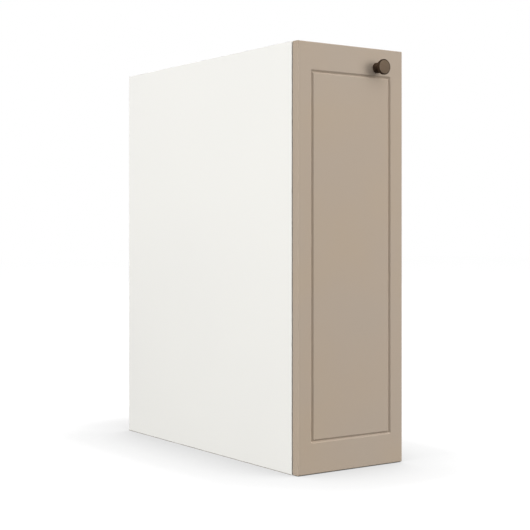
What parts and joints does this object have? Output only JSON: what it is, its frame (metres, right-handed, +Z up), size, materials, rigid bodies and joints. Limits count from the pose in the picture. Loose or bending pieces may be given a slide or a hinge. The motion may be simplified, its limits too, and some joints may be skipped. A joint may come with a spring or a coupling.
{
  "type": "kitchen base cabinet",
  "caption": "Narrow white kitchen base cabinet with a taupe slab door, routed V-groove frame line, dark round knob, concealed four-bar hinges and an adjustable shelf.",
  "frame": {"origin": "middle of the carcass footprint (without the door) at floor level", "axes": "+Z up, +X to the cabinet's right as seen from the door side, +Y to the back; the door faces -Y"},
  "size_m": [0.228, 0.5985, 0.72],
  "materials": {
    "white_board": "white melamine-faced particleboard, satin",
    "edge_band": "white plastic edge band, satin",
    "back_board": "thin white-faced hardboard",
    "taupe_paint": "fibreboard with taupe satin lacquer",
    "antique_bronze": "dark antique bronze plating on zinc, worn satin",
    "nickel_plate": "nickel-plated pressed steel, satin",
    "zinc_plate": "zinc-plated steel",
    "beech": "raw beech",
    "clear_bumper": "clear soft polyurethane"
  },
  "bodies": {
    "carcass": {"side_panel_left": "white_board", "side_panel_right": "white_board", "bottom_panel": "white_board", "front_rail": "white_board", "rear_rail": "white_board", "back_panel": "back_board", "shelf": "white_board", "side_edge_bands": "edge_band", "bottom_edge_band": "edge_band", "rail_edge_band": "edge_band", "shelf_edge_band": "edge_band", "cam_locks": "zinc_plate", "cam_bolts": "zinc_plate", "dowels": "beech", "shelf_pins": "nickel_plate", "hinge_plates": "nickel_plate", "plate_screws": "zinc_plate", "hinge_arms": "nickel_plate", "arm_screws": "zinc_plate", "arm_pins": "zinc_plate"},
    "outer_links": {"outer_links": "nickel_plate"},
    "inner_links": {"inner_links": "nickel_plate", "link_pins": "zinc_plate"},
    "door": {"door_panel": "taupe_paint", "knob": "antique_bronze", "knob_screw": "zinc_plate", "door_bumpers": "clear_bumper", "hinge_cups": "nickel_plate", "cup_screws": "zinc_plate", "cup_pins": "zinc_plate"}
  },
  "joints": [
    {"name": "outer_link_turn", "type": "hinge", "parent": "carcass", "child": "outer_links", "pos_m": [-0.0853, -0.288, 0.36025], "axis": [0, 0, -1], "range_deg": [-18.06, 0]},
    {"name": "inner_link_turn", "type": "hinge", "parent": "carcass", "child": "inner_links", "pos_m": [-0.0784, -0.288, 0.36025], "axis": [0, 0, -1], "range_deg": [-41.81, 0]},
    {"name": "door_swing", "type": "hinge", "parent": "outer_links", "child": "door", "pos_m": [-0.1037, -0.2886, 0.36025], "axis": [0, 0, -1], "range_deg": [0, 113.05]}
  ],
  "couplings": [
    {"joint": "outer_link_turn", "follows": "door_swing", "ratio": -0.15966},
    {"joint": "inner_link_turn", "follows": "door_swing", "ratio": -0.36975}
  ]
}
